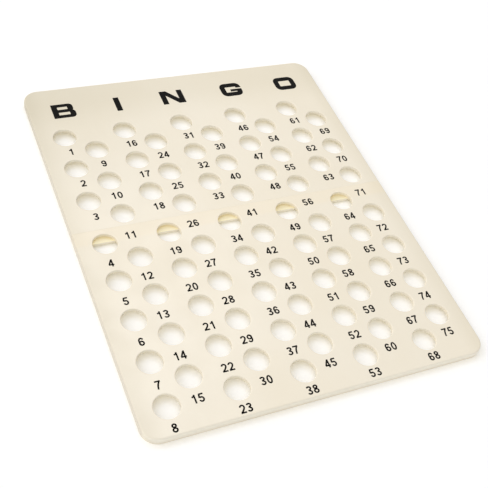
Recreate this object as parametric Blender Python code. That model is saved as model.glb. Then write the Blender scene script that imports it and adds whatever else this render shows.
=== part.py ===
"""Bingo master board: two moulded plastic panels that lap and peg together into one tray of ball seats.

Metres, +Z up. The origin is on the table under the middle of the board, and +Y points to the heading.
"""

import math

import bmesh
import bpy

# Seats: five pairs of columns, the second column of each pair set down by the stagger
COLUMN_PAIRS = 5
UPPER_ROWS = 3
LOWER_ROWS = (5, 4)
PAIR_PITCH = 0.0405
PAIR_OFFSET = 0.0175
ROW_PITCH = 0.0284
STAGGER = 0.0142
SEAT_DIAMETER = 0.0151

# Margins of plain sheet, from an edge of the board to the middle of the nearest seats
SIDE_MARGIN = 0.0175
HEADING_MARGIN = 0.0475
FOOT_MARGIN = 0.0175

# Mouldings
SHEET = 0.0025
SKIRT = 0.0020
CORNER_RADIUS = 0.0100
EDGE_ROUND = 0.0010

# Lap joint: a flange of the upper panel lies under the seam edge of the lower one
LAP_WIDTH = 0.0085
LAP_THICKNESS = 0.0018
LAP_ABOVE_TABLE = 0.0004
RIM_LAND = 0.0002
LOWER_LAND = 0.00365
PEG_DIAMETER = 0.0040
PEG_ABOVE_TABLE = 0.0006
CLEARANCE = 0.0003

# Facets, how far a cutter runs past what it cuts, and how near two heights count as the same
SEAT_SIDES = 24
PEG_SIDES = 16
CORNER_STEPS = 8
ROUND_STEPS = 2
ROUND_PROFILE = 0.5
SHARP_ANGLE = math.radians(35)
OVERCUT = 0.002
SAME_PLACE = 1e-6

# Cream plastic, nearly alike on the two mouldings
UPPER_CREAM = (0.86, 0.80, 0.67)
LOWER_CREAM = (0.87, 0.81, 0.68)
SATIN = 0.42

# Sizes that follow from the ones above
SEAT_RADIUS = SEAT_DIAMETER / 2
BOARD_WIDTH = (COLUMN_PAIRS - 1) * PAIR_PITCH + PAIR_OFFSET + 2 * SIDE_MARGIN
UPPER_LENGTH = HEADING_MARGIN + (UPPER_ROWS - 1) * ROW_PITCH + STAGGER + SEAT_RADIUS + RIM_LAND + SKIRT
LOWER_LENGTH = LOWER_LAND + SEAT_RADIUS + (LOWER_ROWS[0] - 1) * ROW_PITCH + FOOT_MARGIN
BOARD_LENGTH = UPPER_LENGTH + LOWER_LENGTH
LAP_TOP = LAP_ABOVE_TABLE + LAP_THICKNESS
SHEET_UNDERSIDE = LAP_TOP + CLEARANCE
BOARD_HEIGHT = SHEET_UNDERSIDE + SHEET
HEAD_EDGE = BOARD_LENGTH / 2
FOOT_EDGE = -BOARD_LENGTH / 2
SEAM = HEAD_EDGE - UPPER_LENGTH
LAP_MIDDLE = SEAM - LAP_WIDTH / 2


def column_x(pair, side):
    """X of a seat column: side 0 is the first of its pair, side 1 the second."""
    return SIDE_MARGIN - BOARD_WIDTH / 2 + pair * PAIR_PITCH + side * PAIR_OFFSET


def seat_grid(first_row_y, rows_of_side):
    """Middles of a panel's seats, with its first row at first_row_y."""
    return [
        (column_x(pair, side), first_row_y - row * ROW_PITCH - side * STAGGER)
        for pair in range(COLUMN_PAIRS)
        for side, rows in enumerate(rows_of_side)
        for row in range(rows)
    ]


def arc(centre_x, centre_y, radius, start):
    """Points of a quarter circle, counter-clockwise from the start angle."""
    turns = [start + math.pi / 2 * step / CORNER_STEPS for step in range(CORNER_STEPS + 1)]
    return [(centre_x + radius * math.cos(t), centre_y + radius * math.sin(t)) for t in turns]


def outline(half_width, low_y, high_y, radius, round_end):
    """Counter-clockwise rectangle whose two corners at round_end, head or foot, have this radius."""
    inner = half_width - radius
    if round_end == "head":
        corners = arc(inner, high_y - radius, radius, 0)
        corners += arc(-inner, high_y - radius, radius, math.pi / 2)
        return corners + [(-half_width, low_y), (half_width, low_y)]
    corners = arc(-inner, low_y + radius, radius, math.pi)
    corners += arc(inner, low_y + radius, radius, 3 * math.pi / 2)
    return corners + [(half_width, high_y), (-half_width, high_y)]


def box(half_width, low_y, high_y):
    return [(-half_width, low_y), (half_width, low_y), (half_width, high_y), (-half_width, high_y)]


def prism(bm, points, low_z, high_z):
    """Closed prism over a flat outline."""
    face = bm.faces.new([bm.verts.new((x, y, low_z)) for x, y in points])
    grown = bmesh.ops.extrude_face_region(bm, geom=[face])["geom"]
    for vert in grown:
        if isinstance(vert, bmesh.types.BMVert):
            vert.co.z = high_z
    bmesh.ops.recalc_face_normals(bm, faces=bm.faces)


def rods(bm, middles, diameter, low_z, high_z, sides):
    """Upright closed cylinders."""
    for x, y in middles:
        made = bmesh.ops.create_cone(
            bm,
            cap_ends=True,
            segments=sides,
            radius1=diameter / 2,
            radius2=diameter / 2,
            depth=high_z - low_z,
        )
        bmesh.ops.translate(bm, verts=made["verts"], vec=(x, y, (low_z + high_z) / 2))


def round_top_edge(bm, seam_y):
    """Rounds the top outer edge of a panel, all but its seam edge."""
    edges = [
        edge
        for edge in bm.edges
        if all(abs(vert.co.z - BOARD_HEIGHT) < SAME_PLACE for vert in edge.verts)
        and not all(abs(vert.co.y - seam_y) < SAME_PLACE for vert in edge.verts)
    ]
    bmesh.ops.bevel(
        bm, geom=edges, offset=EDGE_ROUND, segments=ROUND_STEPS, profile=ROUND_PROFILE, affect="EDGES"
    )


def new_object(name, bm, origin=(0, 0, 0)):
    """Object made from a mesh drawn in board coordinates, with its own origin placed on the board."""
    bmesh.ops.translate(bm, verts=bm.verts, vec=[-value for value in origin])
    mesh = bpy.data.meshes.new(name)
    bm.to_mesh(mesh)
    bm.free()
    mesh.shade_smooth()
    mesh.set_sharp_from_angle(angle=SHARP_ANGLE)
    made = bpy.data.objects.new(name, mesh)
    made.location = origin
    bpy.context.scene.collection.objects.link(made)
    return made


def combine(panel, name, operation, bm):
    """Adds a shape to a panel or cuts it out, and leaves the shape in the scene as a wire guide."""
    guide = new_object(name, bm)
    guide.hide_render = True
    guide.display_type = "WIRE"
    step = panel.modifiers.new(name, "BOOLEAN")
    step.operation = operation
    step.solver = "EXACT"
    step.object = guide


def plastic(name, colour, roughness):
    material = bpy.data.materials.new(name)
    material.use_nodes = True
    shader = material.node_tree.nodes["Principled BSDF"]
    shader.inputs["Base Color"].default_value = (*colour, 1)
    shader.inputs["Roughness"].default_value = roughness
    shader.inputs["Metallic"].default_value = 0
    return material


def upper_panel():
    """Heading panel: sheet with a skirt on all four sides, three rows of seats and the lap flange."""
    bm = bmesh.new()
    prism(bm, outline(BOARD_WIDTH / 2, SEAM, HEAD_EDGE, CORNER_RADIUS, "head"), 0, BOARD_HEIGHT)
    round_top_edge(bm, SEAM)
    panel = new_object("upper_panel", bm)

    bm = bmesh.new()
    inner = outline(
        BOARD_WIDTH / 2 - SKIRT, SEAM + SKIRT, HEAD_EDGE - SKIRT, CORNER_RADIUS - SKIRT, "head"
    )
    prism(bm, inner, -OVERCUT, SHEET_UNDERSIDE)
    combine(panel, "upper_hollow", "DIFFERENCE", bm)

    bm = bmesh.new()
    lap_half_width = BOARD_WIDTH / 2 - SKIRT - CLEARANCE
    prism(bm, box(lap_half_width, SEAM - LAP_WIDTH, SEAM + SKIRT / 2), LAP_ABOVE_TABLE, LAP_TOP)
    combine(panel, "lap_flange", "UNION", bm)

    bm = bmesh.new()
    seats = seat_grid(HEAD_EDGE - HEADING_MARGIN, (UPPER_ROWS, UPPER_ROWS))
    rods(bm, seats, SEAT_DIAMETER, SHEET_UNDERSIDE - OVERCUT, BOARD_HEIGHT + OVERCUT, SEAT_SIDES)
    combine(panel, "upper_seats", "DIFFERENCE", bm)

    bm = bmesh.new()
    hole = PEG_DIAMETER + 2 * CLEARANCE
    rods(bm, peg_places(), hole, LAP_ABOVE_TABLE - OVERCUT, LAP_TOP + OVERCUT, PEG_SIDES)
    combine(panel, "peg_holes", "DIFFERENCE", bm)
    return panel


def lower_panel():
    """Foot panel: sheet with a skirt on three sides, the other seats, and pegs under its seam edge."""
    seam_edge = SEAM - CLEARANCE
    bm = bmesh.new()
    prism(bm, outline(BOARD_WIDTH / 2, FOOT_EDGE, seam_edge, CORNER_RADIUS, "foot"), 0, BOARD_HEIGHT)
    round_top_edge(bm, seam_edge)
    panel = new_object("lower_panel", bm, origin=(0, LAP_MIDDLE, 0))

    bm = bmesh.new()
    inner = outline(
        BOARD_WIDTH / 2 - SKIRT, FOOT_EDGE + SKIRT, seam_edge + OVERCUT, CORNER_RADIUS - SKIRT, "foot"
    )
    prism(bm, inner, -OVERCUT, SHEET_UNDERSIDE)
    combine(panel, "lower_hollow", "DIFFERENCE", bm)

    bm = bmesh.new()
    seats = seat_grid(SEAM - LOWER_LAND - SEAT_RADIUS, LOWER_ROWS)
    rods(bm, seats, SEAT_DIAMETER, SHEET_UNDERSIDE - OVERCUT, BOARD_HEIGHT + OVERCUT, SEAT_SIDES)
    combine(panel, "lower_seats", "DIFFERENCE", bm)

    bm = bmesh.new()
    rods(bm, peg_places(), PEG_DIAMETER, PEG_ABOVE_TABLE, SHEET_UNDERSIDE + SHEET / 2, PEG_SIDES)
    combine(panel, "pegs", "UNION", bm)
    return panel


def peg_places():
    """One peg in the lap under the second column of each pair, clear of the seats."""
    return [(column_x(pair, 1), LAP_MIDDLE) for pair in range(COLUMN_PAIRS)]


for old in list(bpy.data.objects):
    bpy.data.objects.remove(old)

board = bpy.data.objects.new("bingo_board", None)
bpy.context.scene.collection.objects.link(board)
panels = (
    (upper_panel(), plastic("upper_cream_plastic", UPPER_CREAM, SATIN)),
    (lower_panel(), plastic("lower_cream_plastic", LOWER_CREAM, SATIN)),
)
for panel, material in panels:
    panel.parent = board
    panel.data.materials.append(material)
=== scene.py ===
"""Looks of the bingo master board: two cream plastic panels with print, on a white table, in metres."""

import math

import bmesh
import bpy
import numpy as np
from mathutils import Matrix, Vector
from mathutils.geometry import delaunay_2d_cdt


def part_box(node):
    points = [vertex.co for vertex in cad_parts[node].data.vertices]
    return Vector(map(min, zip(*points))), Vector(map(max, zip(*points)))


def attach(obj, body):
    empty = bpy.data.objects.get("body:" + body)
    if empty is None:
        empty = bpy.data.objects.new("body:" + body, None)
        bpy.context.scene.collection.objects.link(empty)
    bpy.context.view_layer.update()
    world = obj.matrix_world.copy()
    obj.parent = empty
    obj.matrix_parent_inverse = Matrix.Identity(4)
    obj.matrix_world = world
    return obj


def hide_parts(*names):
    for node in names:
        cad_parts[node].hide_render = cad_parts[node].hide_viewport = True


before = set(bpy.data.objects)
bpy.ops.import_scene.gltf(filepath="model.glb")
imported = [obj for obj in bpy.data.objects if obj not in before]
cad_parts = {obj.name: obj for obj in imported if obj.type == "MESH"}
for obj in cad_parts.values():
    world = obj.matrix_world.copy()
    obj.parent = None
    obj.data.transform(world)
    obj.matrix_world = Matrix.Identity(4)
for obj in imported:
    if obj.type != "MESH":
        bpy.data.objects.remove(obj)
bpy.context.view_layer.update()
scene = bpy.context.scene
scene.view_settings.view_transform = "Standard"

# Camera: the photograph's view, from in front and to the left of the board and above it.
# A long lens on a full-frame sensor, tilted so that the board's right end rises in the picture.
CAMERA_PLACE = Vector((-0.21051, -0.31983, 0.41112))
CAMERA_AIM = Vector((-0.00707, -0.02398, 0.0050))
CAMERA_ROLL = math.radians(16.22)
CAMERA_LENS = 64.728
CAMERA_SENSOR = 36.0

camera = bpy.data.objects.new("camera", bpy.data.cameras.new("camera"))
camera.data.lens = CAMERA_LENS
camera.data.sensor_width = CAMERA_SENSOR
looking = (CAMERA_AIM - CAMERA_PLACE).to_track_quat("-Z", "Y").to_matrix()
turned = looking @ Matrix.Rotation(CAMERA_ROLL, 3, "Z")
camera.matrix_world = Matrix.Translation(CAMERA_PLACE) @ turned.to_4x4()
scene.collection.objects.link(camera)
scene.camera = camera

# Upper panel: the heading half of the board, an injection moulding of cream plastic with a satin face.
# A sheet with a skirt on all four sides and thirty round seats that run right through it. Along the
# seam a flange stands out under the other panel, with five holes for its pegs.
upper_low, upper_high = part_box("upper_panel")
HALF_WIDTH = upper_high.x
TOP = upper_high.z
CORNER_RADIUS = 0.0100
SKIRT = 0.0020
SHEET_UNDERSIDE = 0.0025
CLEARANCE = 0.0003
LAP_WIDTH = 0.0085
LAP_TOP = 0.00244
LAP_BOTTOM = 0.0004
LAP_HALF_WIDTH = HALF_WIDTH - SKIRT - CLEARANCE
LAP_EDGE_ROUND = 0.0003
SEAM = upper_low.y + LAP_WIDTH
UPPER_LENGTH = upper_high.y - SEAM

COLUMN_PAIRS = 5
UPPER_ROWS = (3, 3)
PAIR_PITCH = 0.0405
PAIR_OFFSET = 0.0175
ROW_PITCH = 0.0284
STAGGER = 0.0142
SIDE_MARGIN = 0.0175
HEADING_MARGIN = 0.0475
SEAT_RADIUS = 0.00755
PEG_RADIUS = 0.0020

OUTER_ROUND = 0.0010
SEAM_ROUND = 0.00004
RIM_ROUND = 0.00025
SKIRT_FILLET = 0.0002
SEAM_FILLET = 0.00005
SEAT_TOP_ROUND = 0.0003
SEAT_FOOT_ROUND = 0.0001
SEAM_FILLET_END = 1.2 * SEAM_FILLET
SUPPORT = 0.0005
SEAT_CLEAR = SEAT_RADIUS + SEAT_TOP_ROUND + 3 * SUPPORT

OUTER_STEPS = 8
SEAT_TOP_STEPS = 6
ROUND_STEPS = 4
SMALL_STEPS = 2
CORNER_STEPS = 16
LAP_STATIONS = 12
SEAT_SIDES = 64
PEG_SIDES = 32
BORDER_PITCH = 0.0060
FILL_PITCH = 0.0045
FILL_MARGIN = 2 * FILL_PITCH / 3
CORNER_REACH = 1.6 * CORNER_RADIUS
WHOLE_NET = 0
MERGE = 1e-7
SHARP_ANGLE = math.radians(40)

pair_x = np.arange(COLUMN_PAIRS) * PAIR_PITCH
column_x = np.add.outer(pair_x, (0, PAIR_OFFSET)) + SIDE_MARGIN - HALF_WIDTH


def round_inset(depth, radius):
    """How far a rounded edge stands back at a depth: radius - sqrt(radius^2 - (radius - depth)^2)."""
    left = np.clip(radius - depth, 0, radius)
    return radius - np.sqrt(radius**2 - left**2)


def quarter_depths(radius, steps):
    """Depths below an edge that cut a quarter round into equal turns: radius * (1 - cos(turn))."""
    return radius * (1 - np.cos(np.linspace(0, math.pi / 2, steps + 1)))


def spread(low, high, pitch):
    """Even stations from low to high, about one pitch apart."""
    return np.linspace(low, high, max(2, round(abs(high - low) / pitch) + 1))


def panel_path(length, seam_x, corner_copies):
    """Plan of a panel's outline, and the outward way that each of its points is moved along by an inset.

    The first number is x and the second the distance from the seam. The path goes up the right side,
    round two corner arcs (centre + radius * (cos, sin)), down the left side and back along seam_x.
    Straight stretches move square to themselves, arcs from their centres, the seam corners both ways.
    """
    inner = HALF_WIDTH - CORNER_RADIUS
    turn = np.linspace(0, math.pi / 2, CORNER_STEPS + 1)
    side = spread(0, length - CORNER_RADIUS, BORDER_PITCH)[:-1]
    head = spread(inner, -inner, BORDER_PITCH)[1:-1]
    first = np.stack([np.cos(turn), np.sin(turn)], 1)
    second = first[::-1] * (-1, 1)
    centre = np.array([inner, length - CORNER_RADIUS])
    stretches = [
        (np.stack([np.full(len(side), HALF_WIDTH), side], 1), (1, 0)),
        (centre + CORNER_RADIUS * first, first),
        (np.stack([head, np.full(len(head), length)], 1), (0, 1)),
        (centre * (-1, 1) + CORNER_RADIUS * second, second),
        (np.stack([np.full(len(side), -HALF_WIDTH), side[::-1]], 1), (-1, 0)),
        (np.tile((-HALF_WIDTH, 0), (corner_copies, 1)), (-1, -1)),
        (np.stack([seam_x, np.zeros(len(seam_x))], 1), (0, -1)),
        (np.tile((HALF_WIDTH, 0), (corner_copies, 1)), (1, -1)),
    ]
    places = np.concatenate([place for place, _ in stretches])
    ways = [np.broadcast_to(way, place.shape) for place, way in stretches]
    outward = np.concatenate(ways).astype(float)
    last_left = len(places) - len(seam_x) - 2 * corner_copies - 1
    outward[[0, last_left], 1] = -1
    return places, outward


def panel_profile():
    """Stations of the border, from the top face round the skirt to the underside, and the count on top.

    Each is an inset from the three outer sides, an inset from the seam, and a height. Both insets are
    rounds of their own radius at the same heights, so a side and the seam meet in a clean mitre.
    """
    top = np.union1d(quarter_depths(OUTER_ROUND, OUTER_STEPS), quarter_depths(SEAM_ROUND, ROUND_STEPS))
    wall = np.linspace(LAP_TOP, LAP_BOTTOM, LAP_STATIONS)
    foot = quarter_depths(RIM_ROUND, ROUND_STEPS)
    fillet = np.union1d(
        quarter_depths(SKIRT_FILLET, ROUND_STEPS), quarter_depths(SEAM_FILLET, SMALL_STEPS)
    )[::-1]
    outer_foot = round_inset(foot, RIM_ROUND)
    inner_foot = SKIRT - outer_foot
    side_under = SKIRT + round_inset(fillet, SKIRT_FILLET)
    seam_under = SKIRT + round_inset(fillet, SEAM_FILLET)
    rows = [
        [(OUTER_ROUND + SUPPORT, SEAM_ROUND + SUPPORT, TOP)],
        np.stack([round_inset(top, OUTER_ROUND), round_inset(top, SEAM_ROUND), TOP - top], 1),
        [(0, 0, SHEET_UNDERSIDE)],
        np.stack([0 * wall, 0 * wall, wall], 1),
        np.stack([outer_foot, outer_foot, foot], 1)[::-1],
        np.stack([inner_foot, inner_foot, foot], 1),
        np.stack([side_under, seam_under, SHEET_UNDERSIDE - fillet], 1),
        [(SKIRT + SKIRT_FILLET + SEAM_FILLET, SKIRT + SEAM_FILLET_END, SHEET_UNDERSIDE)],
    ]
    return np.concatenate([np.asarray(row, float) for row in rows]), 1 + len(top)


def carried(places, outward, side, seam, height):
    """Profile carried along the path: point = place - outward * inset, at the profile's height."""
    across = places[:, None, 0] - outward[:, None, 0] * side
    ahead, behind = np.maximum(outward[:, None, 1], 0), np.minimum(outward[:, None, 1], 0)
    return np.stack([across, places[:, None, 1] - ahead * side - behind * seam, height], 2)


def rings(centres, profile, sides):
    """Turned profiles: point = centre + radius * (cos turn, sin turn), at the profile's height."""
    turn = np.arange(sides) * 2 * math.pi / sides
    spin = np.stack([np.cos(turn), np.sin(turn)], 1)
    plan = centres[:, None, None, :] + spin[None, :, None, :] * profile[None, None, :, 0, None]
    height = np.broadcast_to(profile[None, None, :, 1, None], plan.shape[:3] + (1,))
    return np.concatenate([plan, height], 3)


def grid_faces(index):
    """Quads between neighbours of a grid of point numbers whose last way but one is a closed loop."""
    ahead = np.roll(index, -1, -2)
    return np.stack([index[..., :-1], index[..., 1:], ahead[..., 1:], ahead[..., :-1]], -1)


def flat_fill(points, loops, extra):
    """Triangles of a flat face: a Delaunay net inside the first loop and outside all the others."""
    owner = np.full(len(points), -1)
    for number, loop in enumerate(loops[1:]):
        owner[loop] = number
    number = np.concatenate([*loops, extra]).astype(int)
    edges, start = [], 0
    for loop in loops:
        ring = start + np.arange(len(loop))
        edges.append(np.stack([ring, np.roll(ring, -1)], 1))
        start += len(loop)
    plan = [Vector(place) for place in points[number, :2].tolist()]
    net = delaunay_2d_cdt(plan, np.concatenate(edges).tolist(), [], WHOLE_NET, MERGE)
    net_faces, sources = net[2:4]
    corners = np.array([sources[corner][0] for face in net_faces for corner in face])
    triangles = number[corners.reshape(-1, 3)]
    held = owner[triangles]
    return triangles[~((held[:, 0] >= 0) & (held == held[:, :1]).all(1))]


def fill_points(length, middles, clear):
    """Spare points of a flat face on an even grid, none of them near a seat or past a round corner."""
    reach = HALF_WIDTH - FILL_MARGIN - SKIRT
    across = spread(-reach, reach, FILL_PITCH)
    along = spread(SKIRT + FILL_PITCH, length - SKIRT - FILL_PITCH, FILL_PITCH)
    spots = np.stack(np.meshgrid(across, along), 2).reshape(-1, 2)
    gaps = np.linalg.norm(spots[:, None] - middles[None], axis=2)
    inner_corner = (HALF_WIDTH - 2 * CORNER_RADIUS, length - 2 * CORNER_RADIUS)
    past = np.maximum(np.abs(spots) - inner_corner, 0)
    return spots[(gaps > clear).all(1) & (np.linalg.norm(past, axis=1) < CORNER_REACH)]


def seat_profile():
    """Radius and height down a seat: flat, quarter round, straight wall, and a small round at last."""
    top = quarter_depths(SEAT_TOP_ROUND, SEAT_TOP_STEPS)
    foot = quarter_depths(SEAT_FOOT_ROUND, SMALL_STEPS)[::-1]
    return np.concatenate(
        [
            [(SEAT_RADIUS + SEAT_TOP_ROUND + SUPPORT, TOP)],
            np.stack([SEAT_RADIUS + round_inset(top, SEAT_TOP_ROUND), TOP - top], 1),
            [(SEAT_RADIUS, TOP - SEAT_TOP_ROUND - SUPPORT)],
            np.stack([SEAT_RADIUS + round_inset(foot, SEAT_FOOT_ROUND), SHEET_UNDERSIDE + foot], 1),
        ]
    )


def solid_piece(name, points, faces, sharp_angle):
    """Mesh object of points and faces: doubles merged, faces outwards, smooth apart from sharp edges."""
    mesh = bpy.data.meshes.new(name)
    mesh.from_pydata(points.tolist(), [], [face for group in faces for face in group.tolist()])
    net = bmesh.new()
    net.from_mesh(mesh)
    bmesh.ops.remove_doubles(net, verts=net.verts, dist=MERGE)
    bmesh.ops.recalc_face_normals(net, faces=net.faces)
    net.to_mesh(mesh)
    net.free()
    mesh.shade_smooth()
    mesh.set_sharp_from_angle(angle=sharp_angle)
    made = bpy.data.objects.new(name, mesh)
    scene.collection.objects.link(made)
    return made


class Shade:
    """One socket of a node tree: operators on it add Math nodes, and node() adds any other node."""

    MIX_AMOUNT = 0
    MIX_FIRST = 6
    MIX_SECOND = 7
    MIX_RESULT = 2

    def __init__(self, tree, socket=None):
        self.tree = tree
        self.socket = socket

    def node(self, kind, settings=None, inputs=None, output=0):
        """A new node of a kind, with its settings and its sockets' values or links; gives one output."""
        made = self.tree.nodes.new("ShaderNode" + kind)
        for name, value in (settings or {}).items():
            setattr(made, name, value)
        for name, value in (inputs or {}).items():
            if isinstance(value, Shade):
                self.tree.links.new(value.socket, made.inputs[name])
            else:
                made.inputs[name].default_value = value
        return Shade(self.tree, made.outputs[output])

    def noise(self, where, scale, detail):
        """Cloudy noise, from 0 to 1, at a place."""
        return self.node("TexNoise", None, {"Vector": where, "Scale": scale, "Detail": detail}, "Fac")

    def axis(self, vector, name):
        """One of a vector's three parts."""
        return self.node("SeparateXYZ", None, {"Vector": vector}, name)

    def banded(self, value, low, high):
        """Smooth step of a value: 0 up to low, 1 from high on, and 3t^2 - 2t^3 between."""
        limits = {"Value": value, "From Min": low, "From Max": high}
        return self.node("MapRange", {"interpolation_type": "SMOOTHSTEP"}, limits)

    def mixed(self, amount, first, second, blend="MIX"):
        """Two colours mixed by an amount."""
        settings = {"data_type": "RGBA", "blend_type": blend}
        sockets = {self.MIX_AMOUNT: amount, self.MIX_FIRST: first, self.MIX_SECOND: second}
        return self.node("Mix", settings, sockets, self.MIX_RESULT)

    def tinted(self, amount, first, tint):
        """A colour multiplied by a tint, as far as the amount says."""
        return self.mixed(amount, first, tint, "MULTIPLY")

    def maths(self, operation, first, second):
        """Sum, difference or product of two values."""
        return self.node("Math", {"operation": operation}, {0: first, 1: second})

    def __add__(self, other):
        return self.maths("ADD", self, other)

    def __sub__(self, other):
        return self.maths("SUBTRACT", self, other)

    def __mul__(self, other):
        return self.maths("MULTIPLY", self, other)

    def __rsub__(self, other):
        return self.maths("SUBTRACT", other, self)

    __radd__ = __add__
    __rmul__ = __mul__


CREAM = (0.870, 0.800, 0.665, 1)
CREAM_PALE = (0.890, 0.825, 0.700, 1)
CREAM_DEEP = (0.850, 0.770, 0.615, 1)
# Painted light: the face over the flange is made yellower for how light comes through the sheet there
PAINTED_LIGHT_OVER_LAP = (0.885, 0.798, 0.638, 1)
# Painted on the flange: a yellow glow for light through the sheet, and shadow deeper near the seam
FLANGE_PAINTED_GLOW = (0.950, 0.868, 0.605, 1)
FLANGE_PAINTED_SHADE = (0.845, 0.745, 0.490, 1)
LAP_FADE = 0.65 * LAP_WIDTH
# Painted glow: walls that face the head or the foot, paler towards the top, as light through the plastic
WALL_PAINTED_GLOW = (1.000, 0.945, 0.810, 1)
# Painted shade: the closed heading and side margins, deeper where less light comes up through the sheet
MARGIN_PAINTED_SHADE = (0.925, 0.920, 0.895, 1)
HEADING_FADE = 0.035
SIDE_FADE = 0.014
SIDE_SHADE_SHARE = 0.9
# Painted shade on the outer rounds and skirts of the left and right sides
SKIRT_PAINTED_SHADE = (0.825, 0.820, 0.830, 1)
# Painted shade: a deeper tone towards the upper left corner, where the light falls off
CORNER_PAINTED_SHADE = (0.915, 0.915, 0.900, 1)
CORNER_FADE_END = HALF_WIDTH / 4
GLOW = (0.655, 0.595, 0.378, 1)

CLOUD_SCALE = 14
CLOUD_DETAIL = 3
FLOW_STRETCH = (90, 8, 90)
FLOW_SCALE = 1
FLOW_DETAIL = 2
GRAIN_SCALE = 2600
GRAIN_DETAIL = 2
SMUDGE_SCALE = 55
SMUDGE_DETAIL = 4
FLOW_SHARE = 0.2
TONE_BAND = (0.30, 0.70)
TONE_SHARE = 0.5
SATIN = 0.27
SMUDGE_BAND = (0.35, 0.75)
SMUDGE_ROUGH = 0.10
GRAIN_ROUGH = 0.04
CLOUD_RELIEF = 0.6
RELIEF_STRENGTH = 0.35
RELIEF_HEIGHT = 0.00004
UPPER_CLOUDS = 0.0


def cream_plastic(name, seed):
    """Moulded cream plastic: clouded tone, flow lines along the board, satin grain and handling marks.

    It is painted yellower on the flange and over it for light through the sheet, with painted shadow
    on the flange near the seam. Painted shade makes it deeper on the closed margins, on the skirts and
    towards the upper left corner, and a painted glow makes walls that face the head or the foot paler.
    Light on its way from a lamp passes through it in part, tinted by the glow.
    """
    material = bpy.data.materials.new(name)
    material.use_nodes = True
    shader = material.node_tree.nodes["Principled BSDF"]
    shade = Shade(material.node_tree)
    banded, mixed, tinted = shade.banded, shade.mixed, shade.tinted
    place = shade.node("TexCoord", output="Object")
    moved = shade.node("Mapping", None, {"Vector": place, "Location": (seed, seed / 2, 0)})
    streaked = shade.node("Mapping", None, {"Vector": moved, "Scale": FLOW_STRETCH})
    cloud = shade.noise(moved, CLOUD_SCALE, CLOUD_DETAIL)
    flow = shade.noise(streaked, FLOW_SCALE, FLOW_DETAIL)
    grain = shade.noise(moved, GRAIN_SCALE, GRAIN_DETAIL)
    smudge = shade.noise(moved, SMUDGE_SCALE, SMUDGE_DETAIL)
    right = shade.axis(place, "X")
    along = shade.axis(place, "Y")
    height = shade.axis(place, "Z")
    across = shade.node("Math", {"operation": "ABSOLUTE"}, {0: right})
    facing = shade.axis(shade.node("TexCoord", output="Normal"), "Y")

    tone = banded(cloud * (1 - FLOW_SHARE) + flow * FLOW_SHARE, *TONE_BAND)
    body = mixed(TONE_SHARE, CREAM, mixed(tone, CREAM_DEEP, CREAM_PALE))

    lap_edge = SEAM - LAP_WIDTH
    # Painted light over the flange: a yellower face where the flange lies under the sheet
    over = banded(along, lap_edge - 2 * SKIRT, lap_edge) * (1 - banded(along, SEAM - MERGE, SEAM))
    body = mixed(over, body, PAINTED_LIGHT_OVER_LAP)
    # Painted on the flange: a yellow glow for light through the sheet, and shadow deeper near the seam
    under = (1 - banded(height, LAP_TOP, LAP_TOP + CLEARANCE)) * (1 - banded(along, SEAM, SEAM + SKIRT))
    under = under * banded(along, lap_edge - LAP_WIDTH, lap_edge)
    under = under * (1 - banded(across, LAP_HALF_WIDTH, HALF_WIDTH - SKIRT / 2))
    flange_painted_light = mixed(banded(along, lap_edge, SEAM - LAP_FADE), FLANGE_PAINTED_GLOW, FLANGE_PAINTED_SHADE)
    body = mixed(under, body, flange_painted_light)

    # Painted shade on the closed margins at the heading and along both sides
    heading_low = upper_high.y - HEADING_MARGIN
    body = tinted(banded(along, heading_low, heading_low + HEADING_FADE), body, MARGIN_PAINTED_SHADE)
    body = tinted(SIDE_SHADE_SHARE * banded(across, HALF_WIDTH - SIDE_FADE, HALF_WIDTH), body, MARGIN_PAINTED_SHADE)
    # Painted shade on the outer rounds and skirts of the left and right sides
    body = tinted(banded(across, HALF_WIDTH - OUTER_ROUND, HALF_WIDTH), body, SKIRT_PAINTED_SHADE)
    # Painted shade towards the upper left corner
    leftward = 1 - banded(right, -HALF_WIDTH, CORNER_FADE_END)
    body = tinted(leftward * banded(along, SEAM - ROW_PITCH, upper_high.y), body, CORNER_PAINTED_SHADE)
    # Painted glow: walls facing the head or the foot are made paler near the top, and fully on the
    # flange
    body = mixed(facing * facing * (under + banded(height, 0, TOP)), body, WALL_PAINTED_GLOW)

    rough = SATIN + SMUDGE_ROUGH * banded(smudge, *SMUDGE_BAND) + GRAIN_ROUGH * grain
    relief = {
        "Height": grain + CLOUD_RELIEF * cloud,
        "Strength": RELIEF_STRENGTH,
        "Distance": RELIEF_HEIGHT,
    }
    bump = shade.node("Bump", None, relief, "Normal")
    from_lamp = shade.node("LightPath", output="Is Shadow Ray")
    clear = shade.node("BsdfTransparent", None, {"Color": GLOW})
    solid = Shade(material.node_tree, shader.outputs[0])
    both = shade.node("MixShader", None, {0: from_lamp, 1: solid, 2: clear})
    links = material.node_tree.links
    links.new(body.socket, shader.inputs["Base Color"])
    links.new(rough.socket, shader.inputs["Roughness"])
    links.new(bump.socket, shader.inputs["Normal"])
    links.new(both.socket, material.node_tree.nodes["Material Output"].inputs["Surface"])
    return material


def seat_places(first, step, counts):
    """Middles of seats: the column's x, and first + step * (stagger + row * pitch) from the seam."""
    places = []
    for column, count in enumerate(counts):
        rows = first + step * (column * STAGGER + np.arange(count) * ROW_PITCH)
        places.append(np.stack(np.meshgrid(column_x[:, column], rows), 2).reshape(-1, 2))
    return np.concatenate(places)


def stacked(*grids):
    """All points of several grids in one list, and the point numbers of each grid in its own shape."""
    shapes = [grid.shape[:-1] for grid in grids]
    starts = np.cumsum([0] + [math.prod(shape) for shape in shapes])
    index = [start + np.arange(math.prod(shape)).reshape(shape) for start, shape in zip(starts, shapes)]
    return np.concatenate([grid.reshape(-1, 3) for grid in grids]), index


def at_height(spots, height):
    """Flat places, all lifted to one height."""
    return np.column_stack([spots, np.full(len(spots), height)])


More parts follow.
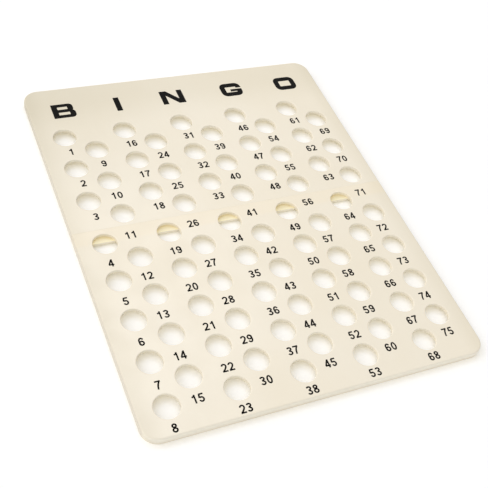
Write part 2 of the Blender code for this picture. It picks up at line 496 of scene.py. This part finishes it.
profile, face_foot = panel_profile()
lap = face_foot + 1 + np.arange(LAP_STATIONS)
lap_x = spread(-LAP_HALF_WIDTH, LAP_HALF_WIDTH, BORDER_PITCH)
lap_round = quarter_depths(LAP_EDGE_ROUND, LAP_STATIONS // 2 - 2)
lap_out = LAP_WIDTH - round_inset(lap_round, LAP_EDGE_ROUND)
lap_reach = np.concatenate([[0], lap_out, lap_out[::-1], [0]])
lap_height = np.concatenate([[LAP_TOP], LAP_TOP - lap_round, LAP_BOTTOM + lap_round[::-1], [LAP_BOTTOM]])

places, outward = panel_path(UPPER_LENGTH, np.concatenate([lap_x[:1], lap_x, lap_x[-1:]]), 0)
side, seam, height = np.repeat(profile.T[:, None], len(places), 1)
flange = len(places) - 1 - len(lap_x) + np.arange(len(lap_x))
seam[np.ix_(flange, lap)] = -lap_reach
height[np.ix_(flange, lap)] = lap_height
upper_seats = seat_places(UPPER_LENGTH - HEADING_MARGIN, -1, UPPER_ROWS)
pegs = np.stack([column_x[:, 1], np.full(COLUMN_PAIRS, -LAP_WIDTH / 2)], 1)
peg_hole = np.array(
    [
        (PEG_RADIUS + 2 * CLEARANCE, LAP_TOP),
        (PEG_RADIUS + CLEARANCE, LAP_TOP - CLEARANCE),
        (PEG_RADIUS + CLEARANCE, LAP_BOTTOM + CLEARANCE),
        (PEG_RADIUS + 2 * CLEARANCE, LAP_BOTTOM),
    ]
)
spare = fill_points(UPPER_LENGTH, upper_seats, SEAT_CLEAR)
points, (border, seats, holes, top_spare, under_spare) = stacked(
    carried(places, outward, side, seam, height),
    rings(upper_seats, seat_profile(), SEAT_SIDES),
    rings(pegs, peg_hole, PEG_SIDES),
    at_height(spare, TOP),
    at_height(spare, SHEET_UNDERSIDE),
)
kept = np.ones((len(places), len(profile) - 1), bool)
kept[np.ix_(flange[:-1], lap[[0, -2]])] = False
lap_top = np.concatenate([border[flange, lap[1]], border[flange[::-1], lap[0]]])
lap_bottom = np.concatenate([border[flange, lap[-2]], border[flange[::-1], lap[-1]]])
faces = [
    grid_faces(border)[kept],
    grid_faces(seats).reshape(-1, 4),
    grid_faces(holes).reshape(-1, 4),
    flat_fill(points, [border[:, 0], *seats[:, :, 0]], top_spare),
    flat_fill(points, [border[:, -1], *seats[:, :, -1]], under_spare),
    flat_fill(points, [lap_top, *holes[:, :, 0]], []),
    flat_fill(points, [lap_bottom, *holes[:, :, -1]], []),
]
upper_moulding = solid_piece("upper_panel_moulding", points + (0, SEAM, 0), faces, SHARP_ANGLE)
upper_moulding.data.materials.append(cream_plastic("upper_cream", UPPER_CLOUDS))
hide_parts("upper_panel")
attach(upper_moulding, "upper_panel")

# Lower panel: the foot half of the board, moulded from the same cream plastic in a second tool.
# It has a skirt on three sides, forty-five seats, and an open seam edge that lies on the flange, where
# five short pegs under it drop into the flange's holes.
lower_low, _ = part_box("lower_panel")
SEAM_GAP = 0.00003
LOWER_LENGTH = SEAM - SEAM_GAP - lower_low.y
LOWER_LAND = 0.00365
LOWER_ROWS = (5, 4)
SKIRT_END_POINTS = 2
PEG_FOOT = 0.0006
PEG_ROOT_ROUND = 0.0002
PEG_ROOT_STEPS = 3
PEG_CHAMFER = 0.0004
PEG_CLEAR = 2 * PEG_RADIUS
LOWER_CLOUDS = 0.7

open_x = spread(-HALF_WIDTH + 2 * SKIRT, HALF_WIDTH - 2 * SKIRT, BORDER_PITCH)
places, outward = panel_path(LOWER_LENGTH, open_x, SKIRT_END_POINTS)
side, seam, height = np.repeat(profile.T[:, None], len(places), 1)
seam_start = len(places) - len(open_x) - 2 * SKIRT_END_POINTS
skirt_ends = [seam_start, seam_start + 1, len(places) - 2, len(places) - 1]
side[skirt_ends] = np.maximum(side[skirt_ends], SKIRT)
opened = np.arange(seam_start + 1, len(places) - 1)
seam[opened, face_foot:] = np.linspace(0, SUPPORT, len(profile) - face_foot)
height[opened, face_foot:] = SHEET_UNDERSIDE
lower_seats = seat_places(LOWER_LAND + SEAT_RADIUS - SEAM_GAP, 1, LOWER_ROWS)
pegs = np.stack([column_x[:, 1], np.full(COLUMN_PAIRS, LAP_WIDTH / 2 - SEAM_GAP)], 1)
peg_root = quarter_depths(PEG_ROOT_ROUND, PEG_ROOT_STEPS)
peg_profile = np.concatenate(
    [
        np.stack([PEG_RADIUS + round_inset(peg_root, PEG_ROOT_ROUND), SHEET_UNDERSIDE - peg_root], 1),
        [(PEG_RADIUS, PEG_FOOT + PEG_CHAMFER), (PEG_RADIUS - PEG_CHAMFER, PEG_FOOT), (0, PEG_FOOT)],
    ]
)
spare = fill_points(LOWER_LENGTH, lower_seats, SEAT_CLEAR)
clear = (np.linalg.norm(spare[:, None] - pegs[None], axis=2) > PEG_CLEAR).all(1)
points, (border, seats, studs, top_spare, under_spare) = stacked(
    carried(places, outward, side, seam, height),
    rings(lower_seats, seat_profile(), SEAT_SIDES),
    rings(pegs, peg_profile, PEG_SIDES),
    at_height(spare, TOP),
    at_height(spare[clear], SHEET_UNDERSIDE),
)
faces = [
    grid_faces(border).reshape(-1, 4),
    grid_faces(seats).reshape(-1, 4),
    grid_faces(studs).reshape(-1, 4),
    flat_fill(points, [border[:, 0], *seats[:, :, 0]], top_spare),
    flat_fill(points, [border[:, -1], *seats[:, :, -1], *studs[:, :, 0]], under_spare),
]
lower_moulding = solid_piece(
    "lower_panel_moulding", points * (1, -1, 1) + (0, SEAM - SEAM_GAP, 0), faces, SHARP_ANGLE
)
lower_moulding.data.materials.append(cream_plastic("lower_cream", LOWER_CLOUDS))
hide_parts("lower_panel")
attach(lower_moulding, "lower_panel")

# Print on both panels: near-black ink laid on the moulded face by a pad, a thin raised film.
# Five plain block letters head the five pairs of columns, and each seat has its number below it. Every
# shape is made of even strokes along lines and arcs, joined into one outline.
INK_BELOW = 0.00002
INK_ABOVE = 0.00004
DIGIT_HEIGHT = 0.0054
DIGIT_WIDTH = 0.0033
DIGIT_STEP = 0.0040
DIGIT_STROKE = 0.00095
NUMBER_RIGHT_AND_DROP = {
    "upper": (0.0007, 0.0134),
    "lower": (-0.0006, 0.0144),
    "first_foot": (-0.0005, 0.0125),
    "second_foot": (-0.0004, 0.0138),
    "below_seam": (-0.0003, 0.0174),
}
FIRST_COLUMN_SEATS = UPPER_ROWS[0] + LOWER_ROWS[0]
PAIR_SEATS = sum(UPPER_ROWS + LOWER_ROWS)
LOWER_PRINT_TURN = math.radians(0.34)
LOWER_PRINT_MIDDLE = (0, -0.0672)
LETTER_HEIGHT = 0.0133
LETTER_STROKE = 0.0039
LETTER_BAR = 0.0028
LETTER_ROUND = 0.0028
LETTER_WIDTHS = {"B": 0.0154, "I": 0.0039, "N": 0.0167, "G": 0.0162, "O": 0.0166}
LETTER_LEFTS = {"B": -0.0916, "I": -0.0482, "N": -0.0146, "G": 0.0308, "O": 0.0738}
LETTER_FEET = {"B": 0.0185, "I": 0.0187, "N": 0.0191, "G": 0.0194, "O": 0.0191}
N_LEAN = 1.3 * LETTER_STROKE
G_ARM = 0.61 * LETTER_HEIGHT
G_LEDGE = 0.52 * LETTER_HEIGHT
G_TONGUE = 0.8 * LETTER_BAR
G_TONGUE_START = 0.46 * LETTER_WIDTHS["G"]
B_WAIST = 0.2 * LETTER_STROKE
ARC_STEP = 9
CURVE_POINTS = 13
INSIDE_NET = 1


def arc(centre_x, centre_y, radius_x, radius_y, start, stop):
    """Points of an oval arc: centre + (radius_x * cos, radius_y * sin), start to stop in degrees."""
    turn = np.radians(np.linspace(start, stop, max(3, round(abs(stop - start) / ARC_STEP) + 1)))
    return np.stack([centre_x + radius_x * np.cos(turn), centre_y + radius_y * np.sin(turn)], 1)


def stroke(path, width):
    """Quads of a pen stroke: the path moved half the width to each side along its mean normals."""
    path = np.asarray(path, float)
    closed = np.allclose(path[0], path[-1])
    way = np.diff(path, axis=0)
    way /= np.linalg.norm(way, axis=1, keepdims=True)
    before = np.concatenate([way[-1:] if closed else way[:1], way])
    after = np.concatenate([way, way[:1] if closed else way[-1:]])
    mean = before + after
    mean *= 2 / (mean**2).sum(1, keepdims=True)
    across = mean[:, ::-1] * (-1, 1) * width / 2
    left, right = path + across, path - across
    return list(np.stack([right[:-1], right[1:], left[1:], left[:-1]], 1))


def curve(start, bend, stop):
    """Points of a quadratic curve: (1 - t)^2 * start + 2t (1 - t) * bend + t^2 * stop, t from 0 to 1."""
    start, bend, stop = np.array([start, bend, stop])
    part = np.linspace(0, 1, CURVE_POINTS)[:, None]
    return (1 - part) ** 2 * start + 2 * part * (1 - part) * bend + part**2 * stop


def digit_strokes(digit):
    """Centre lines of a digit, as shares of a box one digit wide and high. A 9 is a 6 turned round."""
    pen = DIGIT_STROKE / DIGIT_HEIGHT / 2
    nib = DIGIT_STROKE / DIGIT_WIDTH / 2
    wide, low, high = 0.5 - nib, pen, 1 - pen
    if digit == 0:
        return [arc(0.5, 0.5, wide, 0.5 - pen, 0, 360)]
    if digit == 1:
        return [[(0.62, 0), (0.62, 1)], curve((0.62, 0.90), (0.50, 0.76), (0.16, 0.74))]
    if digit == 2:
        bow = arc(0.5, 0.70, wide, 0.30 - pen, 172, -28)
        tail = curve(bow[-1], (0.72, 0.42), (nib + 0.02, low + 0.03))
        return [np.concatenate([bow, tail[1:]]), [(0.02, low), (1, low)]]
    if digit == 3:
        upper = arc(0.49, 0.745, wide - 0.02, 0.255 - pen, 160, -90)
        lower = arc(0.49, 0.275, wide, 0.275 - pen, 90, -165)
        return [upper, lower, [(0.34, 0.52), (0.52, 0.52)]]
    if digit == 4:
        return [[(0.70, 0), (0.70, 1)], [(0, 0.27), (1, 0.27)], [(0.08, 0.28), (0.68, 0.96)]]
    if digit == 5:
        bowl = arc(0.49, 0.325, wide, 0.325 - pen, 138, -165)
        return [bowl, [(0.20, high), (0.94, high)], [(0.26, high), (0.15, 0.49)]]
    if digit == 6:
        head = arc(0.5, 0.60, wide, 0.40 - pen, 25, 180)
        back = arc(0.5, 0.50, wide, 0.50 - pen, 180, 250)
        return [np.concatenate([head, back]), arc(0.5, 0.315, wide, 0.315 - pen, 0, 360)]
    if digit == 7:
        return [[(0.02, high), (1, high)], curve((0.90, high), (0.40, 0.55), (0.34, 0))]
    if digit == 8:
        return [
            arc(0.5, 0.745, wide - 0.05, 0.255 - pen, 0, 360),
            arc(0.5, 0.285, wide, 0.285 - pen, 0, 360),
        ]
    return [1 - np.asarray(line) for line in digit_strokes(6)]


def digit_shape(digit, x, y):
    """Quads of a digit whose lower left corner is at x, y."""
    size = np.array([DIGIT_WIDTH, DIGIT_HEIGHT])
    lines = [np.asarray(line) * size + (x, y) for line in digit_strokes(digit)]
    return [quad for line in lines for quad in stroke(line, DIGIT_STROKE)]


def number_shapes(number, x, y):
    """Shapes of a number centred at x, y."""
    digits = [int(mark) for mark in str(number)]
    left = x - (DIGIT_WIDTH + (len(digits) - 1) * DIGIT_STEP) / 2
    foot = y - DIGIT_HEIGHT / 2
    return [digit_shape(digit, left + place * DIGIT_STEP, foot) for place, digit in enumerate(digits)]


def number_group(column, row):
    """Group of a number: on the upper or lower panel, at a column's foot, or just below the seam."""
    if row + column == FIRST_COLUMN_SEATS - 1:
        return "second_foot" if column else "first_foot"
    if column and row == UPPER_ROWS[1] - 1:
        return "below_seam"
    return "upper" if row < UPPER_ROWS[0] else "lower"


def rounded_path(corners, radius):
    """Path through corners, each inner one cut by a quadratic round that starts a radius before it."""
    corners = np.asarray(corners, float)
    parts = [corners[:1]]
    for before, corner, after in zip(corners, corners[1:], corners[2:]):
        into = corner + (before - corner) / np.linalg.norm(before - corner) * radius
        out = corner + (after - corner) / np.linalg.norm(after - corner) * radius
        parts.append(curve(into, corner, out))
    return np.concatenate([*parts, corners[-1:]])


def block(left, right, low, high, turn):
    """Outline of an upright block whose right corners are quarter rounds, at most half its height."""
    turn = min(turn, (high - low) / 2)
    foot = arc(right - turn, low + turn, turn, turn, -90, 0)
    head = arc(right - turn, high - turn, turn, turn, 0, 90)
    return np.concatenate([[(left, low)], foot, head, [(left, high)]])


def letter_shape(letter, x, y):
    """Overlapping faces of a block letter, its lower left corner at x, y: strokes, bars and blocks."""
    wide, tall, pen, bar = LETTER_WIDTHS[letter], LETTER_HEIGHT, LETTER_STROKE, LETTER_BAR
    left, right, low, high = pen / 2, wide - pen / 2, pen / 2, tall - pen / 2
    middle, turn = tall / 2, LETTER_ROUND
    stem = stroke([(left, 0), (left, tall)], pen)
    if letter == "I":
        faces = stem
    elif letter == "N":
        slope = [(0, tall), (wide - N_LEAN, 0), (wide, 0), (N_LEAN, tall)]
        faces = stem + stroke([(right, 0), (right, tall)], pen) + [slope]
    elif letter == "O":
        loop = [(wide / 2, low), (right, low), (right, high), (left, high), (left, low), (wide / 2, low)]
        faces = stroke(rounded_path(loop, turn), pen)
    elif letter == "G":
        corners = [(right, high), (left, high), (left, low), (right, low)]
        sweep = [(right, G_ARM), *corners, (right, G_LEDGE)]
        tongue = G_LEDGE - G_TONGUE / 2
        faces = stroke(rounded_path(sweep, turn), pen)
        faces += stroke([(G_TONGUE_START, tongue), (wide, tongue)], G_TONGUE)
    else:
        waist = wide - B_WAIST
        faces = stem + [block(wide - pen, wide, 0, middle + bar / 4, turn)]
        faces += [block(waist - pen, waist, middle - bar / 4, tall, turn)]
        bars = [(bar / 2, right), (middle, waist - pen / 2), (tall - bar / 2, waist - pen / 2)]
        for height, end in bars:
            faces += stroke([(0, height), (end - turn / 3, height)], bar)
    return [np.asarray(face) + (x, y) for face in faces]


def turned_shapes(shapes, turn, middle):
    """Shapes turned about a middle: middle + (x cos - y sin, x sin + y cos), with x and y from there."""
    turning = np.array([(math.cos(turn), math.sin(turn)), (-math.sin(turn), math.cos(turn))])
    return [[(np.asarray(face) - middle) @ turning + middle for face in shape] for shape in shapes]


def ink_film(name, shapes):
    """Closed thin film over shapes made of overlapping faces.

    Each shape's faces are joined on a Delaunay net, which is laid at the film's foot and at its top,
    with a wall along every edge that has one triangle only. Points that no triangle uses are left out.
    """
    spots, triangles, start = [], [], 0
    for shape in shapes:
        count = np.cumsum([0] + [len(face) for face in shape])
        members = [list(range(low, high)) for low, high in zip(count, count[1:])]
        plan = [Vector(spot) for spot in np.concatenate(shape).tolist()]
        net_spots, _, net_faces, _, _, owners = delaunay_2d_cdt(plan, [], members, INSIDE_NET, MERGE)
        inside = [face for face, held in zip(net_faces, owners) if held]
        spots.append(np.array(net_spots))
        triangles.append(np.array(inside) + start)
        start += len(net_spots)
    spots, triangles = np.concatenate(spots), np.concatenate(triangles)
    edges = triangles[:, [0, 1, 1, 2, 2, 0]].reshape(-1, 2)
    _, first, count = np.unique(np.sort(edges, 1), axis=0, return_index=True, return_counts=True)
    rim = edges[first[count == 1]]
    walls = np.column_stack([rim[:, 0], rim[:, 1], rim[:, 1] + start, rim[:, 0] + start])
    points = np.concatenate([at_height(spots, TOP - INK_BELOW), at_height(spots, TOP + INK_ABOVE)])
    used = np.unique(triangles)
    used = np.concatenate([used, used + start])
    new = np.zeros(2 * start, int)
    new[used] = np.arange(len(used))
    faces = [new[triangles[:, ::-1]], new[triangles + start], new[walls]]
    return solid_piece(name, points[used], faces, SHARP_ANGLE)


INK = (0.003, 0.0026, 0.002, 1)
INK_WORN = (0.011, 0.010, 0.008, 1)
INK_ROUGH = 0.45
INK_SPECULAR = 0.06
MOTTLE_SCALE = 900
MOTTLE_DETAIL = 3
MOTTLE_BAND = (0.50, 0.80)
SHEEN_SCALE = 160
SHEEN_DETAIL = 2
SHEEN_ROUGH = 0.20


def printing_ink(name):
    """Near-black pad ink: fine mottling where the film is thin, and an uneven sheen."""
    material = bpy.data.materials.new(name)
    material.use_nodes = True
    shader = material.node_tree.nodes["Principled BSDF"]
    shade = Shade(material.node_tree)
    place = shade.node("TexCoord", output="Object")
    mottle = shade.noise(place, MOTTLE_SCALE, MOTTLE_DETAIL)
    sheen = shade.noise(place, SHEEN_SCALE, SHEEN_DETAIL)
    body = shade.mixed(shade.banded(mottle, *MOTTLE_BAND), INK, INK_WORN)
    rough = INK_ROUGH + SHEEN_ROUGH * sheen
    shader.inputs["Specular IOR Level"].default_value = INK_SPECULAR
    material.node_tree.links.new(body.socket, shader.inputs["Base Color"])
    material.node_tree.links.new(rough.socket, shader.inputs["Roughness"])
    return material


upper_shapes, lower_shapes = [], []
first_row = upper_high.y - HEADING_MARGIN
for letter, left in LETTER_LEFTS.items():
    upper_shapes.append(letter_shape(letter, left, first_row + LETTER_FEET[letter]))
row_y = [first_row - row * ROW_PITCH for row in range(UPPER_ROWS[0])]
row_y += [SEAM - LOWER_LAND - SEAT_RADIUS - row * ROW_PITCH for row in range(LOWER_ROWS[0])]
for seat in range(COLUMN_PAIRS * PAIR_SEATS):
    pair, place = divmod(seat, PAIR_SEATS)
    column, row = divmod(place, FIRST_COLUMN_SEATS)
    group = number_group(column, row)
    right, drop = NUMBER_RIGHT_AND_DROP[group]
    shapes = upper_shapes if group == "upper" else lower_shapes
    shapes += number_shapes(
        seat + 1, column_x[pair, column] + right, row_y[row] - column * STAGGER - drop
    )
lower_shapes = turned_shapes(lower_shapes, LOWER_PRINT_TURN, LOWER_PRINT_MIDDLE)
ink = printing_ink("print_ink")
for name, shapes, body in (
    ("upper_panel_print", upper_shapes, "upper_panel"),
    ("lower_panel_print", lower_shapes, "lower_panel"),
):
    film = ink_film(name, shapes)
    film.data.materials.append(ink)
    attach(film, body)

# Table and light: a plain white table top under the board, lit by soft lamps round it and by an even
# pale room. None of it belongs to the board. To the eye and in gloss the room is white, and the table's
# white is lifted a little.
TABLE_HALF = 3.0
TABLE_WHITE = (0.93, 0.93, 0.93, 1)
TABLE_ROUGH = 0.8
TABLE_LIFT = 0.115
# Name, the way to the lamp, its share of the light on a level face, and its width in degrees
LAMPS = (
    ("key_light", Vector((-0.58, 0.51, 0.64)), 0.19, 50),
    ("sheen_light", Vector((0.22, 0.53, 0.82)), 0.11, 22),
    ("side_light", Vector((-0.90, 0.05, 0.48)), 0.075, 60),
    ("front_light", Vector((-0.30, -0.75, 0.58)), 0.055, 50),
)
ROOM_SHARE = 0.545
WARM_WHITE = (1.0, 0.985, 0.965)


def looked_at(tree):
    """1 for a ray from the eye, a reflection or a clear material, and 0 for a ray that gathers light."""
    kinds = ("Camera", "Glossy", "Transmission")
    return sum(Shade(tree).node("LightPath", output=f"Is {kind} Ray") for kind in kinds)


corners = np.array([(-1, -1, 0), (1, -1, 0), (1, 1, 0), (-1, 1, 0)]) * TABLE_HALF
table_mesh = bpy.data.meshes.new("table")
table_mesh.from_pydata(corners.tolist(), [], [(0, 1, 2, 3)])
table = bpy.data.objects.new("table", table_mesh)
scene.collection.objects.link(table)
white = bpy.data.materials.new("white_table")
white.use_nodes = True
surface = white.node_tree.nodes["Principled BSDF"]
surface.inputs["Base Color"].default_value = TABLE_WHITE
surface.inputs["Roughness"].default_value = TABLE_ROUGH
surface.inputs["Emission Strength"].default_value = TABLE_LIFT
white.node_tree.links.new(looked_at(white.node_tree).socket, surface.inputs["Emission Color"])
table_mesh.materials.append(white)

for name, source, share, lamp_width in LAMPS:
    lamp = bpy.data.objects.new(name, bpy.data.lights.new(name, "SUN"))
    lamp.data.angle = math.radians(lamp_width)
    lamp.data.color = WARM_WHITE
    lamp.data.energy = math.pi * share / source.normalized().z
    lamp.rotation_mode = "QUATERNION"
    lamp.rotation_quaternion = (-source).to_track_quat("-Z", "Y")
    scene.collection.objects.link(lamp)

room = bpy.data.worlds.new("room")
room.use_nodes = True
backdrop = room.node_tree.nodes["Background"]
backdrop.inputs["Color"].default_value = (1, 1, 1, 1)
brightness = ROOM_SHARE + (1 - ROOM_SHARE) * looked_at(room.node_tree)
room.node_tree.links.new(brightness.socket, backdrop.inputs["Strength"])
scene.world = room
